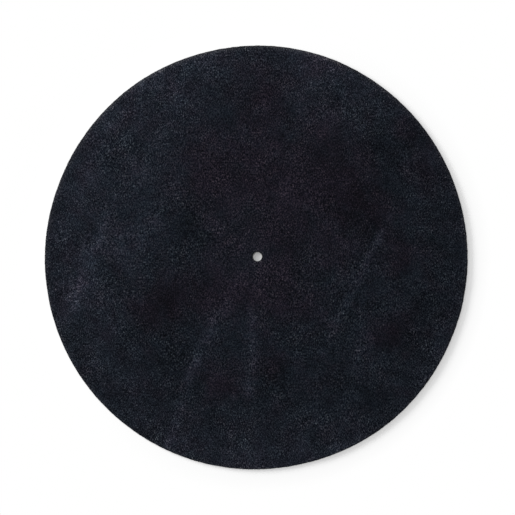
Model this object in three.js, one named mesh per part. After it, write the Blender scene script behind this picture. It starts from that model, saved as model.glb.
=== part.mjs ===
// A leather mat for a turntable platter: one disc, cut from split cowhide and laid suede side up,
// with one round hole punched through it for the platter's spindle.
// Millimetres, +Z up. The origin is on the hole's axis, in the plane of the underside.
import * as THREE from "three";

// The disc and its hole.
const MAT_DIAMETER = 295;
const MAT_THICKNESS = 2.2;
const SPINDLE_HOLE_DIAMETER = 7;

// The cutter enters from the suede side and drags it down, so the upper edges are rounder.
const RIM_UPPER_RADIUS = 0.8;
const HOLE_UPPER_RADIUS = 0.5;
const LOWER_EDGE_RADIUS = 0.2;

// The rim was cut by hand and wanders from a true circle. Each entry is a set of even lobes:
// how many there are, how high they stand, and the bearing of one of them from +X in degrees.
const RIM_WANDER = [
  { lobes: 2, height: 0.37, bearing: 62 },
  { lobes: 3, height: 0.19, bearing: -32 },
  { lobes: 4, height: 0.07, bearing: -40 },
  { lobes: 6, height: 0.1, bearing: 9 },
  { lobes: 8, height: 0.07, bearing: -8 },
];

const SUEDE_COLOUR = 0x1b1d24;
const SUEDE_ROUGHNESS = 0.95;

// How finely the round forms are divided.
const STEPS_AROUND = 144;
const STEPS_PER_UPPER_EDGE = 4;
const STEPS_PER_LOWER_EDGE = 2;

const QUARTER_TURN = Math.PI / 2;

// Points of a quarter circle in the section, which starts at the angle given and turns left.
function roundedEdge(centreRadius, centreHeight, edgeRadius, startAngle, steps) {
  const arc = new THREE.Path().absarc(
    centreRadius,
    centreHeight,
    edgeRadius,
    startAngle,
    startAngle + QUARTER_TURN,
  );
  return arc.getSpacedPoints(steps);
}

// The mat's section from the hole to the rim: x is the radius and y the height.
// It runs outwards along the underside, up the rim, back along the suede and down the hole.
function matSection() {
  const rim = MAT_DIAMETER / 2;
  const hole = SPINDLE_HOLE_DIAMETER / 2;
  const lower = LOWER_EDGE_RADIUS;
  const points = [
    ...roundedEdge(rim - lower, lower, lower, -QUARTER_TURN, STEPS_PER_LOWER_EDGE),
    ...roundedEdge(
      rim - RIM_UPPER_RADIUS,
      MAT_THICKNESS - RIM_UPPER_RADIUS,
      RIM_UPPER_RADIUS,
      0,
      STEPS_PER_UPPER_EDGE,
    ),
    ...roundedEdge(
      hole + HOLE_UPPER_RADIUS,
      MAT_THICKNESS - HOLE_UPPER_RADIUS,
      HOLE_UPPER_RADIUS,
      QUARTER_TURN,
      STEPS_PER_UPPER_EDGE,
    ),
    ...roundedEdge(hole + lower, lower, lower, 2 * QUARTER_TURN, STEPS_PER_LOWER_EDGE),
  ];
  return [...points, points[0].clone()];
}

// How far the rim stands outside its true circle at an angle from +X.
function rimWander(angle) {
  const lift = ({ lobes, height, bearing }) =>
    height * Math.cos(lobes * (angle - THREE.MathUtils.degToRad(bearing)));
  return RIM_WANDER.reduce((sum, lobeSet) => sum + lift(lobeSet), 0);
}

// Moves the turned disc's rim by its wander. The share falls to nothing at the hole, which stays round.
function applyRimWander(geometry) {
  const rim = MAT_DIAMETER / 2;
  const hole = SPINDLE_HOLE_DIAMETER / 2;
  const position = geometry.getAttribute("position");
  for (let i = 0; i < position.count; i += 1) {
    const x = position.getX(i);
    const y = position.getY(i);
    const radius = Math.hypot(x, y);
    const share = (radius - hole) / (rim - hole);
    const stretch = 1 + (share * rimWander(Math.atan2(y, x))) / radius;
    position.setXY(i, x * stretch, y * stretch);
  }
}

function platterMat() {
  const geometry = new THREE.LatheGeometry(matSection(), STEPS_AROUND);
  geometry.rotateX(QUARTER_TURN);
  applyRimWander(geometry);
  geometry.computeVertexNormals();
  const suede = new THREE.MeshStandardMaterial({
    color: SUEDE_COLOUR,
    roughness: SUEDE_ROUGHNESS,
    metalness: 0,
  });
  const mat = new THREE.Mesh(geometry, suede);
  mat.name = "platter_mat";
  return mat;
}

const part = new THREE.Group();
part.add(platterMat());

export default part;
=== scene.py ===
# A leather mat for a turntable platter: one hand-cut disc of split cowhide, laid suede side up, with a
# punched hole for the spindle. Metres, +Z up. From above, +X is to the right and +Y to the top.
import math

import bpy
import numpy as np
from mathutils import Matrix, Vector


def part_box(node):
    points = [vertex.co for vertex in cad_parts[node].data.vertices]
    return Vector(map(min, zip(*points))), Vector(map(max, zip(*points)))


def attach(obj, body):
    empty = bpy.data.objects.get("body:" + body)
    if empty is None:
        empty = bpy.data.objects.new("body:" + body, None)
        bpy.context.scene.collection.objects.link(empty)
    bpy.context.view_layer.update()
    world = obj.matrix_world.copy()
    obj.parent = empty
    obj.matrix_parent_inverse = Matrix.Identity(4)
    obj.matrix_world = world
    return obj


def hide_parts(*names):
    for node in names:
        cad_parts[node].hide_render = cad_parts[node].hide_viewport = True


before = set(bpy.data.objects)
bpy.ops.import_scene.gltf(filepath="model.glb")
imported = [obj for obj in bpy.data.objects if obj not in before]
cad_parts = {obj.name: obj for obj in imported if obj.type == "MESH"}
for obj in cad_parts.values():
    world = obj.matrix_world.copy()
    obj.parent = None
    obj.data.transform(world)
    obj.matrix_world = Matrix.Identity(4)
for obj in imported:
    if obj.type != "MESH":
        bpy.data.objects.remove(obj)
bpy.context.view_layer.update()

MM = 0.001

# The mat's size, from the frame. The edges are rounded as the cutter left them.
mat_low, mat_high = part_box("platter_mat")
MAT_THICKNESS = mat_high.z - mat_low.z
RIM_UPPER_RADIUS = 0.8 * MM
HOLE_UPPER_RADIUS = 0.5 * MM
LOWER_EDGE_RADIUS = 0.2 * MM

# How finely the mat is divided: distance between vertices on each side, and steps round each edge.
SUEDE_SPACING = 0.94 * MM
UNDERSIDE_SPACING = 3.0 * MM
UPPER_EDGE_STEPS = 6
LOWER_EDGE_STEPS = 2
WALL_STEPS = 2
HOLE_STEPS_AROUND = 48

# Two heights or radii this close are the same. Rings round an edge lie closer together than a flat step.
SAME_PLACE = 0.01 * MM
FLAT_STEP = 0.5 * MM

# Away from the edges the vertices stray from even rings, by this share of the suede's spacing.
RING_JITTER = 0.18
EVEN_EDGE = 1 * MM
JITTER_SEED = 7

# A face belongs to the cut edge where its normal's Z, up or down, is under the first of these. The suede's
# own nap grows, and is worn paler, only where it is over the second.
EDGE_FACING = 0.55
TOP_FACING = 0.8

# The nap is worn this many times less far in from the hole than from the rim, and most on one side.
HOLE_WEAR = 2.5
PALEST_SIDE = (-0.2, 0.98, 0)

# The flat map of the mat: the radii of its two round islands, the free edge round each, and the room that
# the rim's wander needs.
SUEDE_ISLAND = 0.402
UNDERSIDE_ISLAND = 0.180
MAP_MARGIN = 0.004
WANDER_ROOM = 1 * MM

# Colours of the dyed suede. The dye took bluer on most of the hide and browner round the middle. It is
# worn to a plain grey-black along the cut edges. The last three tint the gaps between its tufts, the
# rubbed tufts, and the sheen.
BLUE_BLACK = "#171c23"
PLUM_BLACK = "#1b1921"
WORN_BLACK = "#1b1c1e"
EDGE_BLACK = "#0f1014"
UNDERSIDE_BLACK = "#17191e"
DEEP_TINT = "#d5e2fe"
RUBBED_TINT = "#ffeed5"
SHEEN_TINT = "#c9d2e6"

# How brown the clouds of the dye get, and how grey the dye is where the nap is worn most.
CLOUD_BROWN = 0.6
WORN_GREY = 0.8

# Suede hardly shines, and it is a little less dull where it is rubbed.
SUEDE_SHINE = {"Specular IOR Level": 0.02, "Sheen Weight": 0.02}
GAP_ROUGHNESS = 1.0
RUBBED_ROUGHNESS = 0.8

# How far apart the dye's clouds and the nap's patches, fuller places and tufts are. The nap was brushed
# towards +Y, which makes its tufts closer across and longer along.
CLOUD_SPACING = 14 * MM
PATCH_SPACING = 13 * MM
FULLNESS_SPACING = 22 * MM
TUFT_SPACING = 1.0 * MM
TUFTS_BRUSHED = (1.5, 0.85, 1.0)

# How far patches and tufts are lighter and darker, in stops, how fully the tufts stand, and how deep.
PATCH_STOPS = 0.90
TUFT_STOPS = 2.95
THINNEST, FULLEST = 0.55, 1.45
TUFT_DEPTH = 0.35 * MM

# A loose fibre: how far it strays from the way its neighbours lie, the share of its length that stands in
# # the hide, and in stops how much lighter its tip is than its middle, which is painted shade towards the
# root
# # and painted light towards the tip, and one fibre than the next.
FIBRE_STRAY = Vector((1, 1, 0.2))
ROOT_DEPTH = 0.15
ROOT_SHADE_TIP_LIGHT_STOPS = 0.5
FIBRE_STOPS = 0.8
FIBRE_ROUGHNESS = 0.9

# A noise node's values hardly leave this range.
NOISE_LOW, NOISE_HIGH = 0.2, 0.8

# Places where the suede is lighter or darker: x and y in mm, radius in mm, and tone in stops. Partly they
# are the nap's own patches, and partly painted light and shade: the places on the left, towards the left
# lamp, are mostly painted lighter and those on the right mostly darker.
TONE_AND_LIGHT_PLACES = [
    ((-103, 50), 72, 0.60),
    ((-103, 70), 22, -0.40),
    ((-108, 44), 18, -0.30),
    ((-114, 4), 16, 0.25),
    ((-134, 18), 16, 0.25),
    ((-118, -25), 42, 0.60),
    ((-92, 8), 34, 0.40),
    ((-101, 91), 22, 0.50),
    ((-92, 28), 16, -0.35),
    ((-67, 125), 46, 0.80),
    ((-36, 145), 34, 0.70),
    ((2, 152), 44, 0.25),
    ((44, 137), 42, 0.75),
    ((54, 95), 20, 0.40),
    ((30, 150), 22, 0.35),
    ((79, 114), 26, 0.40),
    ((112, 106), 20, 0.35),
    ((144, 50), 22, 0.30),
    ((150, 4), 20, 0.25),
    ((-110, -66), 30, 0.30),
    ((-80, -69), 12, 0.30),
    ((-70, 70), 22, 0.25),
    ((-74, 24), 22, 0.35),
    ((-50, -136), 36, 0.35),
    ((0, -146), 46, 0.45),
    ((64, -134), 38, 0.60),
    ((134, -58), 26, 0.50),
    ((138, -38), 16, 0.25),
    ((124, -74), 16, 0.25),
    ((-11, -16), 22, 0.45),
    ((73, 30), 28, -0.85),
    ((46, 69), 25, -0.55),
    ((38, 71), 11, 0.35),
    ((58, 75), 13, -0.25),
    ((48, 44), 15, -0.30),
    ((30, 44), 24, 0.25),
    ((74, 70), 22, -0.35),
    ((96, 76), 22, -0.40),
    ((122, 54), 18, -0.30),
    ((20, 5), 16, -0.45),
    ((-2, 2), 14, 0.25),
    ((30, -22), 28, -0.40),
    ((-68, -38), 24, -0.75),
    ((-52, -22), 26, -0.40),
    ((-62, -72), 26, -0.40),
    ((-46, -102), 30, -0.35),
    ((-8, -50), 18, 0.25),
    ((100, -56), 22, -0.50),
    ((86, -70), 14, 0.25),
    ((119, -38), 30, -0.60),
    ((12, -82), 20, -0.65),
    ((50, -78), 24, -0.45),
    ((78, -100), 30, -0.35),
    ((118, 20), 50, -0.30),
    ((106, 26), 16, 0.30),
    ((92, 56), 16, -0.30),
    ((76, 2), 14, -0.30),
    ((66, -30), 16, -0.30),
    ((-50, 30), 24, -0.45),
    ((-44, 11), 15, -0.30),
    ((-46, 22), 14, -0.25),
    ((-98, -20), 20, -0.30),
    ((27, 106), 16, 0.45),
    ((60, 120), 16, 0.25),
    ((-52, 96), 18, 0.25),
    ((-34, 106), 16, 0.25),
    ((5, -46), 12, -0.30),
    ((47, -52), 15, -0.25),
    ((12, -98), 12, -0.30),
    ((119, 34), 14, 0.30),
]

# Places where the dye is browner: x and y in mm, radius in mm, and how brown.
WARM_PLACES = [
    ((5, 57), 64, 0.85),
    ((55, 46), 44, 0.90),
    ((48, 88), 26, 0.60),
    ((4, 114), 34, 0.70),
    ((-37, 68), 34, 0.60),
    ((20, 12), 34, 0.60),
    ((-20, 4), 32, 0.40),
    ((56, 4), 30, 0.65),
    ((74, 36), 28, 0.45),
    ((14, -26), 38, 0.80),
    ((42, -36), 22, 0.35),
    ((-24, -24), 28, 0.80),
    ((-50, -26), 28, 0.75),
    ((-74, -34), 26, 0.95),
    ((-25, -87), 22, 0.90),
    ((9, -75), 18, 0.85),
    ((96, -50), 24, 0.80),
    ((100, 2), 24, 0.85),
    ((116, 62), 22, 0.55),
    ((104, 88), 20, 0.50),
    ((46, 142), 26, 0.55),
    ((128, 84), 18, 0.45),
    ((-38, 42), 24, 0.50),
    ((68, 64), 20, 0.45),
    ((90, 26), 22, 0.40),
    ((-58, -48), 18, 0.35),
    ((-6, -24), 16, 0.35),
]

# Pale vein marks of the hide: start, bend and end in mm, width in mm, and tone in stops.
VEINS = [
    ((-20, -32), (-46, -66), (-60, -130), 7.5, 0.95),
    ((-5, -36), (0, -66), (-6, -96), 7.0, 0.60),
    ((-8, -90), (-16, -104), (-42, -110), 9.0, 0.35),
    ((92, 26), (70, -14), (46, -66), 6.0, 0.80),
    ((48, 22), (62, 6), (76, -8), 5.0, 0.40),
    ((18, -12), (36, -28), (46, -40), 5.0, 0.45),
    ((78, -56), (68, -78), (66, -94), 12.0, 0.40),
    ((-103, 24), (-117, -6), (-135, -46), 8.0, 0.50),
    ((-113, 72), (-120, 54), (-128, 30), 8.0, 0.45),
    ((-62, 140), (-84, 124), (-102, 92), 10.0, 0.30),
    ((-80, -66), (-90, -86), (-82, -110), 9.0, 0.30),
    ((42, -96), (36, -112), (27, -136), 9.0, 0.45),
]
VEIN_STEPS = 12

# A vein comes and goes along its way, from its faintest to its clearest as a noise swings this far.
VEIN_FAINTEST, VEIN_CLEAREST = 0.2, 1.3
VEIN_SWING = 0.6

# The camera stands almost straight over the hole, a little to the lower left, and looks at the suede by it.
CAMERA_DISTANCE = 0.7963
CAMERA_LENS = 80
CAMERA_TILT = math.radians(2.35)
CAMERA_BEARING = math.radians(222)
CAMERA_AIM = Vector((0, -0.65 * MM, MAT_THICKNESS))

# The studio: light from the room, white paper under the mat, and what it adds in the camera's eye alone.
ROOM_LIGHT = 0.15
PAPER_WHITE = "#dedede"
PAPER_GLOW = 0.26
PAPER_SIZE = 6

# How far from the hole the paper's glow begins and is whole, and where the mat's shadow ends in pure white.
# The paper seen down the hole gets no glow, which paints it darker as the hole's shade.
GLOW_BEGINS, GLOW_WHOLE = 0.10, 0.14
SHADOW_FADES, SHADOW_ENDS = 0.150, 0.166

# Steps across a lamp's face in the sum of its light.
LAMP_STEPS = 24


def linear(colour):
    """A hex sRGB colour as linear red, green, blue and alpha."""
    parts = [int(colour[i : i + 2], 16) / 255 for i in (1, 3, 5)]
    return tuple(c / 12.92 if c <= 0.04045 else ((c + 0.055) / 1.055) ** 2.4 for c in parts) + (1.0,)


def add(tree, kind, inputs=None, **settings):
    """Adds a node with its settings. Each input is a value, or the node or socket that feeds it."""
    node = tree.nodes.new(kind)
    for name, value in settings.items():
        setattr(node, name, value)
    for key, value in (inputs or {}).items():
        if isinstance(value, bpy.types.Node):
            value = value.outputs[0]
        if isinstance(value, bpy.types.NodeSocket):
            tree.links.new(value, node.inputs[key])
        else:
            node.inputs[key].default_value = value
    return node


# The mat as one closed mesh of rings


def rim_outline():
    """The rim's angles and radii all round the mat, and the hole's radius, as the frame has them."""
    corners = np.array([v.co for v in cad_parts["platter_mat"].data.vertices])
    radii = np.hypot(corners[:, 0], corners[:, 1])
    on_wall = (radii > radii.max() / 2) & np.isclose(corners[:, 2], LOWER_EDGE_RADIUS, atol=SAME_PLACE)

    # Each corner is there once for each of its triangles, and rounding its angles makes them one.
    angles = np.round(np.arctan2(corners[on_wall, 1], corners[on_wall, 0]), 3)
    bearings = np.unique(angles)
    return bearings, np.array([radii[on_wall][angles == a].max() for a in bearings]), radii.min()


RIM_BEARINGS, RIM_RADII, HOLE_RADIUS = rim_outline()
RIM_RADIUS = float(RIM_RADII.mean())


def arc(centre_radius, centre_height, radius, start, steps):
    """Points of a quarter circle in the section, turning left from the start angle."""
    turn = start + np.linspace(0, math.pi / 2, steps + 1)
    return [(centre_radius + radius * math.cos(a), centre_height + radius * math.sin(a)) for a in turn]


def flat(start, end, spacing):
    """Radii or heights between two rings of a flat side or wall, without the two themselves."""
    steps = max(2, round(abs(end - start) / spacing))
    return np.linspace(start, end, steps + 1)[1:-1]


def section():
    """The rings of the mat, each a radius, a height and a number of vertices: up the rim, in along the
    suede, down the hole and out along the underside."""
    low, top = LOWER_EDGE_RADIUS, MAT_THICKNESS
    rim_count = round(math.tau * RIM_RADIUS / SUEDE_SPACING)
    rings = []

    def ring(radius, height, count):
        rings.append((radius, height, count))

    for radius, height in arc(RIM_RADIUS - low, low, low, -math.pi / 2, LOWER_EDGE_STEPS):
        ring(radius, height, rim_count)
    for height in flat(low, top - RIM_UPPER_RADIUS, (top - RIM_UPPER_RADIUS - low) / WALL_STEPS):
        ring(RIM_RADIUS, height, rim_count)
    for radius, height in arc(RIM_RADIUS - RIM_UPPER_RADIUS, top - RIM_UPPER_RADIUS,
                              RIM_UPPER_RADIUS, 0, UPPER_EDGE_STEPS):
        ring(radius, height, rim_count)
    for radius in flat(RIM_RADIUS - RIM_UPPER_RADIUS, HOLE_RADIUS + HOLE_UPPER_RADIUS, SUEDE_SPACING):
        ring(radius, top, max(HOLE_STEPS_AROUND, round(math.tau * radius / SUEDE_SPACING)))
    for radius, height in arc(HOLE_RADIUS + HOLE_UPPER_RADIUS, top - HOLE_UPPER_RADIUS,
                              HOLE_UPPER_RADIUS, math.pi / 2, UPPER_EDGE_STEPS):
        ring(radius, height, HOLE_STEPS_AROUND)
    for height in flat(top - HOLE_UPPER_RADIUS, low, (top - HOLE_UPPER_RADIUS - low) / WALL_STEPS):
        ring(HOLE_RADIUS, height, HOLE_STEPS_AROUND)
    for radius, height in arc(HOLE_RADIUS + low, low, low, math.pi, LOWER_EDGE_STEPS):
        ring(radius, height, HOLE_STEPS_AROUND)
    for radius in flat(HOLE_RADIUS + low, RIM_RADIUS - low, UNDERSIDE_SPACING):
        ring(radius, 0.0, max(HOLE_STEPS_AROUND, round(math.tau * radius / UNDERSIDE_SPACING)))
    return rings


def strip(first_a, count_a, first_b, count_b):
    """Triangles between two rings, which may have different numbers of vertices."""
    order = np.argsort(
        np.concatenate([np.arange(1, count_a + 1) / count_a, np.arange(1, count_b + 1) / count_b]),
        kind="stable",
    )
    along_a = order < count_a
    a = np.cumsum(along_a) - along_a
    b = np.cumsum(~along_a) - ~along_a
    third = np.where(along_a, first_a + (a + 1) % count_a, first_b + (b + 1) % count_b)
    return np.stack([first_a + a % count_a, third, first_b + b % count_b], 1)


def unrolled(rings, first, last):
    """How far from the axis each ring from the first to the last lies once the edges are laid out flat."""
    pairs = zip(rings[first:last], rings[first + 1 : last + 1])
    spans = [math.hypot(b[0] - a[0], b[1] - a[1]) for a, b in pairs]
    middle = np.array([ring[0] for ring in rings[first : last + 1]])
    run = np.concatenate([[0], np.cumsum(spans)])
    start = int(np.argmax(np.abs(np.diff(middle)) > FLAT_STEP))
    return middle[start] - np.sign(middle[0] - middle[-1]) * (run - run[start])


def mat_mesh():
    """The closed mesh of the mat, before its relief, with its flat map."""
    chance = np.random.default_rng(JITTER_SEED)
    rings = section()
    places, firsts, inward, angles_of, shifts = [], [], [], [], []
    for radius, height, count in rings:
        on_flat = HOLE_RADIUS + EVEN_EDGE < radius < RIM_RADIUS - EVEN_EDGE
        angles = (np.arange(count) + chance.uniform(0, 1)) * math.tau / count
        shift = chance.uniform(-1, 1, (2, count)) * RING_JITTER * SUEDE_SPACING * on_flat
        radii = radius + shift[0]
        angles = angles + shift[1] / radius
        wander = np.interp(angles, RIM_BEARINGS, RIM_RADII, period=math.tau) - RIM_RADIUS
        radii = radii + wander * (radius - HOLE_RADIUS) / (RIM_RADIUS - HOLE_RADIUS)
        firsts.append(sum(len(p) for p in places))
        inward.append(np.full(count, min(RIM_RADIUS - radius, HOLE_WEAR * (radius - HOLE_RADIUS))))
        angles_of.append(angles)
        shifts.append(radii - radius)
        places.append(np.stack([radii * np.cos(angles), radii * np.sin(angles), np.full(count, height)], 1))

    # The suede side and both cut edges make one round island of the flat map, the underside another.
    last = len(rings) - 1
    wall_foot = LOWER_EDGE_STEPS
    bore_foot = max(i for i, ring in enumerate(rings) if ring[0] < HOLE_RADIUS + SAME_PLACE)
    suede_run = unrolled(rings, wall_foot, bore_foot)
    under_run = unrolled(rings[bore_foot:] + rings[: wall_foot + 1], 0, last - bore_foot + 1 + wall_foot)
    islands = []
    for run, first, size, centre in ((suede_run, wall_foot, SUEDE_ISLAND, SUEDE_ISLAND),
                                     (under_run, bore_foot, UNDERSIDE_ISLAND, 1 - UNDERSIDE_ISLAND)):
        drawn = np.zeros((sum(ring[2] for ring in rings), 2))
        for step, reach in enumerate(run):
            i = (first + step) % len(rings)
            length = (reach + shifts[i]) * (size - MAP_MARGIN) / (RIM_RADIUS + MAT_THICKNESS + WANDER_ROOM)
            around = np.stack([np.cos(angles_of[i]), np.sin(angles_of[i])], 1)
            drawn[firsts[i] : firsts[i] + rings[i][2]] = centre + length[:, None] * around
        islands.append(drawn)

    faces, on_map = [], []
    for i, (_, _, count) in enumerate(rings):
        j = (i + 1) % len(rings)
        corners = strip(firsts[i], count, firsts[j], rings[j][2])
        faces.append(corners)
        on_map.append(islands[0 if wall_foot <= i < bore_foot else 1][corners.ravel()])
    mesh = bpy.data.meshes.new("suede_mat")
    mesh.from_pydata(np.concatenate(places).tolist(), [], np.concatenate(faces).tolist())
    mesh.attributes.new("inward", "FLOAT", "POINT").data.foreach_set("value", np.concatenate(inward))
    mesh.uv_layers.new(name="OFBake").data.foreach_set("uv", np.concatenate(on_map).ravel())
    mesh.update()
    return mesh


# Geometry Nodes for the hide's relief and for its nap


def new_tree(name, inputs):
    """A geometry tree with its named inputs, each a length or number with a default."""
    tree = bpy.data.node_groups.new(name, "GeometryNodeTree")
    tree.interface.new_socket("Geometry", in_out="INPUT", socket_type="NodeSocketGeometry")
    for label, value in inputs.items():
        kind = "NodeSocketInt" if isinstance(value, int) else "NodeSocketFloat"
        socket = tree.interface.new_socket(label, in_out="INPUT", socket_type=kind)
        socket.default_value = value
    tree.interface.new_socket("Geometry", in_out="OUTPUT", socket_type="NodeSocketGeometry")
    return tree


def apply_tree(name, mesh, tree, values):
    """A plain mesh object, made by the tree from a mesh."""
    source = bpy.data.objects.new(name, mesh)
    bpy.context.scene.collection.objects.link(source)
    modifier = source.modifiers.new(name, "NODES")
    modifier.node_group = tree
    for socket in tree.interface.items_tree:
        if socket.in_out == "INPUT" and socket.name in values:
            modifier[socket.identifier] = values[socket.name]
    graph = bpy.context.evaluated_depsgraph_get()
    made = bpy.data.meshes.new_from_object(source.evaluated_get(graph), depsgraph=graph)
    made.name = name
    source.modifiers.remove(modifier)
    source.data = made
    return source


def spaced_noise(tree, position, spacing, detail, roughness):
    """Noise with lumps as far apart as the spacing."""
    scale = add(tree, "ShaderNodeMath", {0: 1.0, 1: spacing}, operation="DIVIDE")
    return add(tree, "ShaderNodeTexNoise",
               {"Vector": position, "Scale": scale, "Detail": detail, "Roughness": roughness})


def spread_noise(tree, position, spacing, detail=2.0, roughness=0.5):
    """Noise about 0, mostly from -1 to 1."""
    noise = spaced_noise(tree, position, spacing, detail, roughness)
    return add(tree, "ShaderNodeMapRange",
               {"Value": noise.outputs[0], "From Min": NOISE_LOW, "From Max": NOISE_HIGH,
                "To Min": -1.0, "To Max": 1.0}, clamp=False)


def noise_way(tree, position, spacing, detail, roughness=0.5):
    """A direction that changes from place to place."""
    noise = spaced_noise(tree, position, spacing, detail, roughness)
    return add(tree, "ShaderNodeVectorMath", {0: noise.outputs["Color"], 1: (0.5, 0.5, 0.5)},
               operation="SUBTRACT")


def places_sum(tree, position, places):
    """The sum of soft round places of the hide."""
    total = None
    for (x, y), radius, amount in places:
        away = add(tree, "ShaderNodeVectorMath",
                   {0: position, 1: (x * MM, y * MM, MAT_THICKNESS)}, operation="DISTANCE")
        share = add(tree, "ShaderNodeMapRange",
                    {"Value": away.outputs["Value"], "From Min": 0.0, "From Max": radius * MM,
                     "To Min": amount, "To Max": 0.0}, interpolation_type="SMOOTHSTEP")
        total = share if total is None else add(tree, "ShaderNodeMath", {0: total, 1: share})
    return total


def strongest_vein(tree, position):
    """The tone of the strongest vein mark. Each is a soft line along a bent path."""
    total = None
    for start, bend, end, width, amount in VEINS:
        named = (("Start", start), ("Middle", bend), ("End", end))
        points = {label: (x * MM, y * MM, MAT_THICKNESS) for label, (x, y) in named}
        path = add(tree, "GeometryNodeCurveQuadraticBezier", {"Resolution": VEIN_STEPS, **points})
        line = add(tree, "GeometryNodeCurveToMesh", {"Curve": path})
        near = add(tree, "GeometryNodeProximity",
                   {0: line, "Sample Position": position}, target_element="EDGES")
        share = add(tree, "ShaderNodeMapRange",
                    {"Value": near.outputs["Distance"], "From Min": 0.0, "From Max": width * MM,
                     "To Min": amount, "To Max": 0.0}, interpolation_type="SMOOTHERSTEP")
        total = share if total is None else add(tree, "ShaderNodeMath", {0: total, 1: share},
                                                operation="MAXIMUM")
    return total


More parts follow.
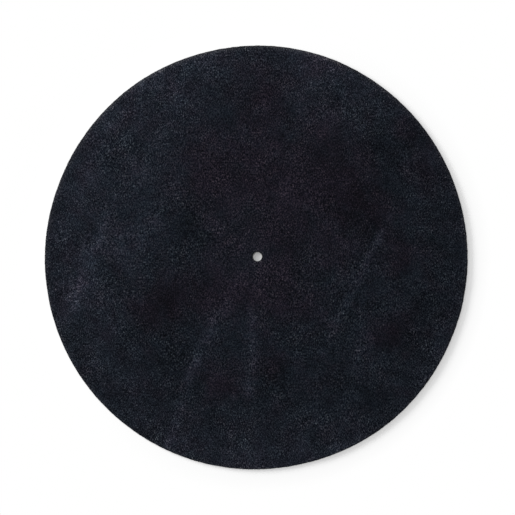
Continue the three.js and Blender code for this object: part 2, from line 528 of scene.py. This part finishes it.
def relief_tree(suede, edge, underside):
    """Gives the flat disc the swells of a hide that never lies dead flat, its clumped nap, its veins and its
    ragged cut edge, and stores for the material the suede's tone, painted light and shade included."""
    tree = new_tree("hide_relief", {
        "Swell Height": 0.12 * MM, "Swell Spacing": 46 * MM,
        "Clump Height": 0.06 * MM, "Clump Spacing": 3.2 * MM,
        "Vein Height": 0.10 * MM, "Vein Gap Spacing": 9 * MM,
        "Edge Raggedness": 0.24 * MM, "Edge Spacing": 3.6 * MM,
        "Worn Width": 4.4 * MM, "Worn Depth": 0.12 * MM, "Worn Tone": 1.05, "Least Pale Side": 0.2,
        "Wander": 26 * MM, "Wander Spacing": 30 * MM, "Vein Wander Share": 0.2,
        "Warmth": 0.13, "Pale Warmth": 0.20,
    })
    given = add(tree, "NodeGroupInput").outputs
    position = add(tree, "GeometryNodeInputPosition")
    normal = add(tree, "GeometryNodeInputNormal")
    place = add(tree, "ShaderNodeSeparateXYZ", {0: position})
    facing = add(tree, "ShaderNodeSeparateXYZ", {0: normal})

    # The places and veins are drawn on a wandering copy of the position: none is a true circle or curve.
    wander = noise_way(tree, position, given["Wander Spacing"], detail=5.0, roughness=0.65)
    level = add(tree, "ShaderNodeVectorMath", {0: wander, 1: (1, 1, 0)}, operation="MULTIPLY")
    moved = add(tree, "ShaderNodeVectorMath", {0: level, "Scale": given["Wander"]}, operation="SCALE")
    drawn = add(tree, "ShaderNodeVectorMath", {0: position, 1: moved})
    # This tone is partly painted light: lighter on the left, towards the left lamp, and darker on the right.
    tone = places_sum(tree, drawn, TONE_AND_LIGHT_PLACES)
    slight = add(tree, "ShaderNodeVectorMath",
                 {0: moved, "Scale": given["Vein Wander Share"]}, operation="SCALE")
    drawn_vein = add(tree, "ShaderNodeVectorMath", {0: position, 1: slight})
    gaps = spread_noise(tree, position, given["Vein Gap Spacing"], detail=3.0, roughness=0.6)
    kept = add(tree, "ShaderNodeMapRange",
               {"Value": gaps, "From Min": -VEIN_SWING, "From Max": VEIN_SWING,
                "To Min": VEIN_FAINTEST, "To Max": VEIN_CLEAREST})
    whole_vein = strongest_vein(tree, drawn_vein)
    vein = add(tree, "ShaderNodeMath", {0: whole_vein, 1: kept}, operation="MULTIPLY")

    # The dye is browner in its own places, and everywhere a little browner where the tone is paler, painted
    # light included.
    paleness = add(tree, "ShaderNodeMath", {0: tone, 1: vein})
    warmth = add(tree, "ShaderNodeMath",
                 {0: paleness, 1: given["Pale Warmth"], 2: given["Warmth"]}, operation="MULTIPLY_ADD")
    warmth = add(tree, "ShaderNodeMath", {0: places_sum(tree, drawn, WARM_PLACES), 1: warmth})

    # Next to a cut edge the nap is worn shorter, paler and greyer, but over the edge no paler. All of this
    # is
    # # strongest towards the top of the mat and weakest towards the bottom.
    upright = add(tree, "ShaderNodeMath", {0: facing.outputs["Z"]}, operation="ABSOLUTE")
    lying = add(tree, "ShaderNodeMapRange", {"Value": upright, "From Min": TOP_FACING, "From Max": 1.0})
    inward = add(tree, "GeometryNodeInputNamedAttribute", {"Name": "inward"}, data_type="FLOAT")
    near_edge = add(tree, "ShaderNodeMapRange",
                    {"Value": inward.outputs["Attribute"], "From Max": given["Worn Width"],
                     "To Min": 1.0, "To Max": 0.0}, interpolation_type="SMOOTHSTEP")
    towards_palest = add(tree, "ShaderNodeVectorMath", {0: position, 1: PALEST_SIDE}, operation="DOT_PRODUCT")
    side_share = add(tree, "ShaderNodeMapRange",
                  {"Value": towards_palest.outputs["Value"], "From Min": -RIM_RADIUS, "From Max": RIM_RADIUS,
                   "To Min": given["Least Pale Side"], "To Max": 1.0})
    worn = add(tree, "ShaderNodeMath", {0: near_edge, 1: side_share}, operation="MULTIPLY")
    pale = add(tree, "ShaderNodeMath", {0: worn, 1: lying}, operation="MULTIPLY")
    tone = add(tree, "ShaderNodeMath",
               {0: pale, 1: given["Worn Tone"], 2: tone}, operation="MULTIPLY_ADD")

    geometry = given["Geometry"]
    for label, value in (("tone", tone), ("warmth", warmth), ("vein", vein), ("worn", worn)):
        geometry = add(tree, "GeometryNodeStoreNamedAttribute",
                       {"Geometry": geometry, "Name": label, "Value": value}, data_type="FLOAT")

    swell = spread_noise(tree, position, given["Swell Spacing"], detail=1.0)
    swells = add(tree, "ShaderNodeMath", {0: swell, 1: given["Swell Height"]}, operation="MULTIPLY")
    clump = spread_noise(tree, position, given["Clump Spacing"], detail=2.0, roughness=0.6)
    clumps = add(tree, "ShaderNodeMath", {0: clump, 1: given["Clump Height"], 2: swells},
                 operation="MULTIPLY_ADD")
    height = add(tree, "ShaderNodeMath", {0: vein, 1: given["Vein Height"], 2: clumps},
                 operation="MULTIPLY_ADD")
    drop = add(tree, "ShaderNodeMath", {0: worn, 1: given["Worn Depth"]}, operation="MULTIPLY")
    height = add(tree, "ShaderNodeMath", {0: height, 1: drop}, operation="SUBTRACT")
    upper = add(tree, "ShaderNodeMapRange",
                {"Value": place.outputs["Z"], "From Min": LOWER_EDGE_RADIUS, "From Max": MAT_THICKNESS},
                interpolation_type="SMOOTHSTEP")
    lift = add(tree, "ShaderNodeMath", {0: height, 1: upper}, operation="MULTIPLY")
    raised = add(tree, "ShaderNodeCombineXYZ", {"Z": lift})
    edgewise = add(tree, "ShaderNodeMath", {0: 1.0, 1: upright}, operation="SUBTRACT")
    ragged = spread_noise(tree, position, given["Edge Spacing"], detail=3.0, roughness=0.65)
    push = add(tree, "ShaderNodeMath", {0: ragged, 1: given["Edge Raggedness"]}, operation="MULTIPLY")
    sideways = add(tree, "ShaderNodeMath", {0: push, 1: edgewise}, operation="MULTIPLY")
    outwards = add(tree, "ShaderNodeVectorMath", {0: normal, "Scale": sideways}, operation="SCALE")
    offset = add(tree, "ShaderNodeVectorMath", {0: raised, 1: outwards})
    shaped = add(tree, "GeometryNodeSetPosition", {"Geometry": geometry, "Offset": offset})

    real = add(tree, "GeometryNodeRealizeInstances", {0: shaped})
    is_edge = add(tree, "FunctionNodeCompare", {0: upright, 1: EDGE_FACING}, operation="LESS_THAN")
    is_under = add(tree, "FunctionNodeCompare", {0: facing.outputs["Z"], 1: -EDGE_FACING},
                   operation="LESS_THAN")
    done = add(tree, "GeometryNodeSetMaterial", {"Geometry": real, "Material": suede})
    done = add(tree, "GeometryNodeSetMaterial",
               {"Geometry": done, "Selection": is_edge, "Material": edge})
    done = add(tree, "GeometryNodeSetMaterial",
               {"Geometry": done, "Selection": is_under, "Material": underside})
    done = add(tree, "GeometryNodeSetShadeSmooth", {"Geometry": done})
    add(tree, "NodeGroupOutput", {0: done})
    return tree


def nap_tree(fibre):
    """Grows short leaning fibres where a normal's Z is between two limits, and so is the distance from the
    hole's middle. Each is a three-sided spike, closed at its root."""
    tree = new_tree("hide_nap", {
        "Fibres Per Square Millimetre": 1.0, "Length": 0.5 * MM, "Width": 0.1 * MM,
        "Shortest": 0.55, "Tallest": 1.25, "Lean": 1.0, "Drift": 5.0, "Drift Spacing": 22 * MM,
        "Lowest Facing": TOP_FACING, "Highest Facing": 1.1, "Nearest": 0.0, "Farthest": 1.0, "Seed": 1,
        "Floor Gap": 0.02 * MM, "Map Scale": 3.3,
    })
    given = add(tree, "NodeGroupInput").outputs
    normal = add(tree, "GeometryNodeInputNormal")
    facing = add(tree, "ShaderNodeSeparateXYZ", {0: normal})
    above = add(tree, "FunctionNodeCompare", {0: facing.outputs["Z"], 1: given["Lowest Facing"]},
                operation="GREATER_THAN")
    below = add(tree, "FunctionNodeCompare", {0: facing.outputs["Z"], 1: given["Highest Facing"]},
                operation="LESS_THAN")
    position = add(tree, "GeometryNodeInputPosition")
    level = add(tree, "ShaderNodeVectorMath", {0: position, 1: (1, 1, 0)}, operation="MULTIPLY")
    away = add(tree, "ShaderNodeVectorMath", {0: level}, operation="LENGTH").outputs["Value"]
    outside = add(tree, "FunctionNodeCompare", {0: away, 1: given["Nearest"]}, operation="GREATER_THAN")
    inside = add(tree, "FunctionNodeCompare", {0: away, 1: given["Farthest"]}, operation="LESS_THAN")
    grows = above
    for limit in (below, outside, inside):
        grows = add(tree, "FunctionNodeBooleanMath", {0: grows, 1: limit}, operation="AND")
    density = add(tree, "ShaderNodeMath", {0: given["Fibres Per Square Millimetre"], 1: 1 / MM**2},
                  operation="MULTIPLY")
    roots = add(tree, "GeometryNodeDistributePointsOnFaces",
                {"Mesh": given["Geometry"], "Selection": grows, "Density": density, "Seed": given["Seed"]})

    # The nap lies in drifts, as a hand left it, and each fibre strays from its drift.
    drift = noise_way(tree, position, given["Drift Spacing"], detail=3.0)
    stray = add(tree, "FunctionNodeRandomValue",
                {0: -FIBRE_STRAY, 1: FIBRE_STRAY, "Seed": given["Seed"]}, data_type="FLOAT_VECTOR")
    drifted = add(tree, "ShaderNodeVectorMath", {0: drift, "Scale": given["Drift"]}, operation="SCALE")
    lying = add(tree, "ShaderNodeVectorMath", {0: drifted, 1: stray.outputs[0]})
    leaning = add(tree, "ShaderNodeVectorMath", {0: lying, "Scale": given["Lean"]}, operation="SCALE")
    way = add(tree, "ShaderNodeVectorMath", {0: roots.outputs["Normal"], 1: leaning})
    turned = add(tree, "FunctionNodeAlignRotationToVector", {"Vector": way}, axis="Z")
    spin = add(tree, "FunctionNodeRandomValue",
               {2: 0.0, 3: math.tau, "Seed": given["Seed"]}, data_type="FLOAT")
    spun = add(tree, "FunctionNodeAxisAngleToRotation", {"Axis": (0, 0, 1), "Angle": spin.outputs[1]})
    rotation = add(tree, "FunctionNodeRotateRotation", {0: turned, 1: spun}, rotation_space="LOCAL")
    grown = add(tree, "FunctionNodeRandomValue",
                {2: given["Shortest"], 3: given["Tallest"], "Seed": given["Seed"]}, data_type="FLOAT")

    spike = add(tree, "GeometryNodeMeshCone",
                {"Vertices": 3, "Side Segments": 1, "Radius Top": 0.0, "Radius Bottom": given["Width"],
                 "Depth": given["Length"]})
    rise = add(tree, "ShaderNodeSeparateXYZ", {0: position})
    tip = add(tree, "ShaderNodeMath", {0: rise.outputs["Z"], 1: given["Length"]}, operation="DIVIDE")
    marked = add(tree, "GeometryNodeStoreNamedAttribute",
                 {"Geometry": spike.outputs["Mesh"], "Name": "tip", "Value": tip}, data_type="FLOAT")
    sink = add(tree, "ShaderNodeMath", {0: given["Length"], 1: -ROOT_DEPTH}, operation="MULTIPLY")
    sunk = add(tree, "ShaderNodeCombineXYZ", {"Z": sink})
    fibre_mesh = add(tree, "GeometryNodeSetPosition", {"Geometry": marked, "Offset": sunk})
    nap = add(tree, "GeometryNodeInstanceOnPoints",
              {"Points": roots.outputs["Points"], "Instance": fibre_mesh, "Rotation": rotation,
               "Scale": grown.outputs[1]})
    shade = add(tree, "FunctionNodeRandomValue",
                {2: 0.0, 3: 1.0, "Seed": given["Seed"]}, data_type="FLOAT")
    shaded = add(tree, "GeometryNodeStoreNamedAttribute",
                 {"Geometry": nap, "Name": "shade", "Value": shade.outputs[1]},
                 data_type="FLOAT", domain="INSTANCE")
    real = add(tree, "GeometryNodeRealizeInstances", {0: shaded})

    # A fibre that would reach under the mat lies on the surface that the mat rests on.
    there = add(tree, "ShaderNodeSeparateXYZ", {0: position})
    above_floor = add(tree, "ShaderNodeMath",
                      {0: there.outputs["Z"], 1: given["Floor Gap"]}, operation="MAXIMUM")
    kept = add(tree, "ShaderNodeCombineXYZ",
               {"X": there.outputs["X"], "Y": there.outputs["Y"], "Z": above_floor})
    real = add(tree, "GeometryNodeSetPosition", {"Geometry": real, "Position": kept})

    # The flat map of the nap is its plan, drawn from the middle of the map at the given scale.
    drawn = add(tree, "ShaderNodeVectorMath",
                {0: position, "Scale": given["Map Scale"]}, operation="SCALE")
    plan = add(tree, "ShaderNodeVectorMath", {0: drawn, 1: (0.5, 0.5, 0)})
    real = add(tree, "GeometryNodeStoreNamedAttribute",
               {"Geometry": real, "Name": "OFBake", "Value": plan}, data_type="FLOAT2", domain="CORNER")
    done = add(tree, "GeometryNodeSetMaterial", {"Geometry": real, "Material": fibre})
    done = add(tree, "GeometryNodeSetShadeSmooth", {"Geometry": done})
    add(tree, "NodeGroupOutput", {0: done})
    return tree


# Materials


def cleared_tree(owner):
    """The node tree of a new material or world, with nothing in it."""
    owner.use_nodes = True
    owner.node_tree.nodes.clear()
    return owner.node_tree


def dyed(tree, base, plum, brown):
    """The dye's colour: bluer or browner, and greyer where the nap is worn."""
    dye = add(tree, "ShaderNodeMix", {0: brown, 6: linear(base), 7: linear(plum)}, data_type="RGBA")
    worn = add(tree, "ShaderNodeAttribute", attribute_name="worn")
    grey = add(tree, "ShaderNodeMath", {0: worn.outputs["Fac"], 1: WORN_GREY}, operation="MULTIPLY")
    return add(tree, "ShaderNodeMix", {0: grey, 6: dye.outputs[2], 7: linear(WORN_BLACK)}, data_type="RGBA")


def suede_material(name, base, plum, grain, bump):
    """Split cowhide, drum-dyed and sanded to a suede: nearly no shine, a faint sheen at the edges of what
    faces away, and a nap whose clumps catch more or less light."""
    material = bpy.data.materials.new(name)
    tree = cleared_tree(material)
    place = add(tree, "ShaderNodeTexCoord").outputs["Object"]
    tone, warmth, vein = [add(tree, "ShaderNodeAttribute", attribute_name=label).outputs["Fac"]
                          for label in ("tone", "warmth", "vein")]

    # The dye: bluer or browner in broad clouds.
    cloud = spread_noise(tree, place, CLOUD_SPACING, detail=4.0, roughness=0.7)
    brown = add(tree, "ShaderNodeMath", {0: cloud, 1: CLOUD_BROWN, 2: warmth},
                operation="MULTIPLY_ADD", use_clamp=True)
    dye = dyed(tree, base, plum, brown)

    # The nap lies this way and that in patches. Its tufts are 0.7 mm wide and 1.2 mm long, about the finest
    # that shows at this size. They stand fuller in some places than in others. Rubbed tufts are browner, and
    # the gaps between them bluer.
    patches = spread_noise(tree, place, PATCH_SPACING, detail=4.0, roughness=0.8)
    brushed = add(tree, "ShaderNodeVectorMath", {0: place, 1: TUFTS_BRUSHED}, operation="MULTIPLY")
    even_tufts = spread_noise(tree, brushed, TUFT_SPACING, detail=1.0, roughness=0.6)
    fullness = spread_noise(tree, place, FULLNESS_SPACING)
    standing = add(tree, "ShaderNodeMapRange",
                   {"Value": fullness, "From Min": -1.0, "From Max": 1.0,
                    "To Min": THINNEST, "To Max": FULLEST})
    tufts = add(tree, "ShaderNodeMath", {0: even_tufts, 1: standing}, operation="MULTIPLY")
    # The stored tone holds painted light and shade as well as the nap's own patches.
    stops = add(tree, "ShaderNodeMath", {0: tone, 1: vein})
    for noise, most in ((patches, PATCH_STOPS), (tufts, TUFT_STOPS)):
        stops = add(tree, "ShaderNodeMath", {0: noise, 1: most * grain, 2: stops}, operation="MULTIPLY_ADD")
    gain = add(tree, "ShaderNodeMath", {0: 2.0, 1: stops}, operation="POWER")
    rubbed = add(tree, "ShaderNodeMapRange", {"Value": tufts, "From Min": -1.0, "From Max": 1.0})
    tint = add(tree, "ShaderNodeMix",
               {0: rubbed, 6: linear(DEEP_TINT), 7: linear(RUBBED_TINT)}, data_type="RGBA")
    tinted = add(tree, "ShaderNodeVectorMath", {0: dye.outputs[2], 1: tint.outputs[2]}, operation="MULTIPLY")
    colour = add(tree, "ShaderNodeVectorMath", {0: tinted, "Scale": gain}, operation="SCALE")

    # The tufts are finer than the mesh, so they stand up in a bump.
    pile = spaced_noise(tree, brushed, TUFT_SPACING, detail=3.0, roughness=0.65)
    relief = add(tree, "ShaderNodeBump",
                 {"Strength": bump, "Distance": TUFT_DEPTH, "Height": pile.outputs[0]})
    dullness = add(tree, "ShaderNodeMapRange",
                   {"Value": rubbed, "To Min": GAP_ROUGHNESS, "To Max": RUBBED_ROUGHNESS})
    suede = add(tree, "ShaderNodeBsdfPrincipled",
                {"Base Color": colour, "Normal": relief, "Roughness": dullness, "Sheen Roughness": 0.6,
                 "Sheen Tint": linear(SHEEN_TINT), **SUEDE_SHINE})
    add(tree, "ShaderNodeOutputMaterial", {"Surface": suede})
    return material


def fibre_material(name, base, plum):
    """The same fibre standing free, painted darker at its root as shade and lighter at its tip as light."""
    material = bpy.data.materials.new(name)
    tree = cleared_tree(material)
    tone, warmth, vein, tip, shade = [add(tree, "ShaderNodeAttribute", attribute_name=label).outputs["Fac"]
                                      for label in ("tone", "warmth", "vein", "tip", "shade")]
    dye = dyed(tree, base, plum, add(tree, "ShaderNodeClamp", {"Value": warmth}))
    # The stored tone holds painted light and shade as well as the nap's own patches.
    stops = add(tree, "ShaderNodeMath", {0: tone, 1: vein})
    # Each fibre is painted darker at its root, as shade among the fibres, and lighter at its tip, as light.
    for value, most in ((tip, ROOT_SHADE_TIP_LIGHT_STOPS), (shade, FIBRE_STOPS)):
        own = add(tree, "ShaderNodeMapRange", {"Value": value, "To Min": -most, "To Max": most})
        stops = add(tree, "ShaderNodeMath", {0: stops, 1: own})
    gain = add(tree, "ShaderNodeMath", {0: 2.0, 1: stops}, operation="POWER")
    colour = add(tree, "ShaderNodeVectorMath", {0: dye.outputs[2], "Scale": gain}, operation="SCALE")
    fibre = add(tree, "ShaderNodeBsdfPrincipled",
                {"Base Color": colour, "Roughness": FIBRE_ROUGHNESS, **SUEDE_SHINE})
    add(tree, "ShaderNodeOutputMaterial", {"Surface": fibre})
    return material


# The studio


def is_seen(tree):
    """1 for what the camera sees, straight or by way of a shiny or clear thing, and 0 for other light."""
    path = add(tree, "ShaderNodeLightPath")
    seen = add(tree, "ShaderNodeMath", {0: path.outputs["Is Camera Ray"], 1: path.outputs["Is Glossy Ray"]})
    return add(tree, "ShaderNodeMath", {0: seen, 1: path.outputs["Is Transmission Ray"]}, use_clamp=True)


def floor_and_world():
    """A white floor that keeps the mat's shadow, is painted darker as shade where it shows in the hole, and
    runs out into a white background.
    """
    material = bpy.data.materials.new("studio_paper")
    tree = cleared_tree(material)
    place = add(tree, "ShaderNodeTexCoord").outputs["Object"]
    away = add(tree, "ShaderNodeVectorMath", {0: place}, operation="LENGTH")
    far = add(tree, "ShaderNodeMapRange",
              {"Value": away.outputs["Value"], "From Min": SHADOW_FADES, "From Max": SHADOW_ENDS},
              interpolation_type="SMOOTHSTEP")
    seen = is_seen(tree)
    # The glow is left off under the mat, so the paper seen down the hole is painted darker, as its shade.
    glow_outside_hole = add(tree, "ShaderNodeMapRange",
                 {"Value": away.outputs["Value"], "From Min": GLOW_BEGINS, "From Max": GLOW_WHOLE,
                  "To Max": PAPER_GLOW})
    glow = add(tree, "ShaderNodeMath", {0: glow_outside_hole, 1: seen}, operation="MULTIPLY")
    paper = add(tree, "ShaderNodeBsdfDiffuse", {"Color": linear(PAPER_WHITE)})
    shine = add(tree, "ShaderNodeEmission", {"Strength": glow})
    near = add(tree, "ShaderNodeAddShader", {0: paper, 1: shine})
    white = add(tree, "ShaderNodeEmission", {"Strength": 1.0})
    out_of_reach = add(tree, "ShaderNodeMath", {0: far, 1: seen}, operation="MULTIPLY")
    ground = add(tree, "ShaderNodeMixShader", {0: out_of_reach, 1: near, 2: white})
    add(tree, "ShaderNodeOutputMaterial", {"Surface": ground})
    bpy.ops.mesh.primitive_plane_add(size=PAPER_SIZE)
    floor = bpy.context.object
    floor.name = "studio_floor"
    floor.data.materials.append(material)

    world = bpy.data.worlds.new("studio_room")
    bpy.context.scene.world = world
    tree = cleared_tree(world)
    strength = add(tree, "ShaderNodeMapRange", {"Value": is_seen(tree), "To Min": ROOM_LIGHT, "To Max": 1.0})
    sky = add(tree, "ShaderNodeBackground", {"Color": (1, 1, 1, 1), "Strength": strength})
    add(tree, "ShaderNodeOutputWorld", {"Surface": sky})


def softbox(name, width, height, bearing, elevation, distance, share):
    """A rectangular lamp that faces the mat from a bearing and an elevation in degrees. It gives a share of
    the light that a white card on the mat would need to render as pure white."""
    data = bpy.data.lights.new(name, "AREA")
    data.shape = "RECTANGLE"
    data.size, data.size_y = width, height
    lamp = bpy.data.objects.new(name, data)
    bpy.context.scene.collection.objects.link(lamp)
    b, e = math.radians(bearing), math.radians(elevation)
    way = Vector((math.cos(b) * math.cos(e), math.sin(b) * math.cos(e), math.sin(e)))
    turn = (-way).to_track_quat("-Z", "Y")
    lamp.location = way * distance
    lamp.rotation_euler = turn.to_euler()

    # The light that one watt of this lamp gives the middle of the mat, summed over the lamp's face.
    steps = (np.arange(LAMP_STEPS) + 0.5) / LAMP_STEPS - 0.5
    reached = 0.0
    for u in steps:
        for v in steps:
            spot = way * distance + turn @ Vector((u * width, v * height, 0))
            reached += max(spot.z, 0) * spot.dot(way) / spot.length**4 / steps.size**2
    data.energy = share * math.pi**2 / reached


def photo_camera():
    """The camera over the mat, upright to +Y."""
    back = Vector((math.sin(CAMERA_TILT) * math.cos(CAMERA_BEARING),
                   math.sin(CAMERA_TILT) * math.sin(CAMERA_BEARING), math.cos(CAMERA_TILT)))
    right = Vector((0, 1, 0)).cross(back).normalized()
    turned = Matrix((right, back.cross(right), back)).transposed()
    data = bpy.data.cameras.new("photo_camera")
    data.lens = CAMERA_LENS
    camera = bpy.data.objects.new("photo_camera", data)
    bpy.context.scene.collection.objects.link(camera)
    camera.matrix_world = Matrix.Translation(CAMERA_AIM + back * CAMERA_DISTANCE) @ turned.to_4x4()
    bpy.context.scene.camera = camera


def finish_piece(piece):
    """Puts a piece of the mat on its body."""
    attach(piece, "root")


photo_camera()
floor_and_world()
softbox("overhead_softbox", width=1.6, height=1.6, bearing=140, elevation=78, distance=2.4, share=0.38)
softbox("left_softbox", width=1.8, height=0.62, bearing=156, elevation=19.5, distance=2.7, share=0.37)
softbox("back_softbox", width=1.2, height=0.55, bearing=135, elevation=36, distance=2.7, share=0.10)
bpy.context.scene.view_settings.view_transform = "Standard"

# The cut edge shows the hide's raw middle, which is darker and more even. The underside was buffed, so its
# grain hardly shows.
suede = suede_material("dyed_split_suede", BLUE_BLACK, PLUM_BLACK, grain=1.0, bump=0.8)
edge = suede_material("raw_cut_edge", EDGE_BLACK, EDGE_BLACK, grain=0.6, bump=0.8)
underside = suede_material("buffed_underside", UNDERSIDE_BLACK, UNDERSIDE_BLACK, grain=0.4, bump=0.5)
fibre = fibre_material("suede_fibre", BLUE_BLACK, PLUM_BLACK)

mat = apply_tree("suede_mat", mat_mesh(), relief_tree(suede, edge, underside), {})
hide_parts("platter_mat")
finish_piece(mat)

# One fringe stands on each cut edge, on its own side of a circle between them. The suede's nap is in three
# pieces, so that none has too many triangles.
BETWEEN_EDGES = 100 * MM
CUT_EDGE = {"Lean": 0.5, "Lowest Facing": -0.4, "Highest Facing": TOP_FACING}
SUEDE_NAP = {"Fibres Per Square Millimetre": 0.70, "Length": 0.8 * MM, "Width": 0.07 * MM}
NAPS = {
    "edge_fringe": {**CUT_EDGE, "Fibres Per Square Millimetre": 6.0, "Length": 0.32 * MM,
                    "Width": 0.035 * MM, "Nearest": BETWEEN_EDGES, "Seed": 3},
    "hole_fringe": {**CUT_EDGE, "Fibres Per Square Millimetre": 110.0, "Length": 0.4 * MM,
                    "Width": 0.05 * MM, "Farthest": BETWEEN_EDGES, "Seed": 4, "Map Scale": 105.0},
    "suede_nap_1": {**SUEDE_NAP, "Seed": 11},
    "suede_nap_2": {**SUEDE_NAP, "Seed": 12},
    "suede_nap_3": {**SUEDE_NAP, "Seed": 13},
}
grown_nap = nap_tree(fibre)
for name, values in NAPS.items():
    finish_piece(apply_tree(name, mat.data, grown_nap, values))
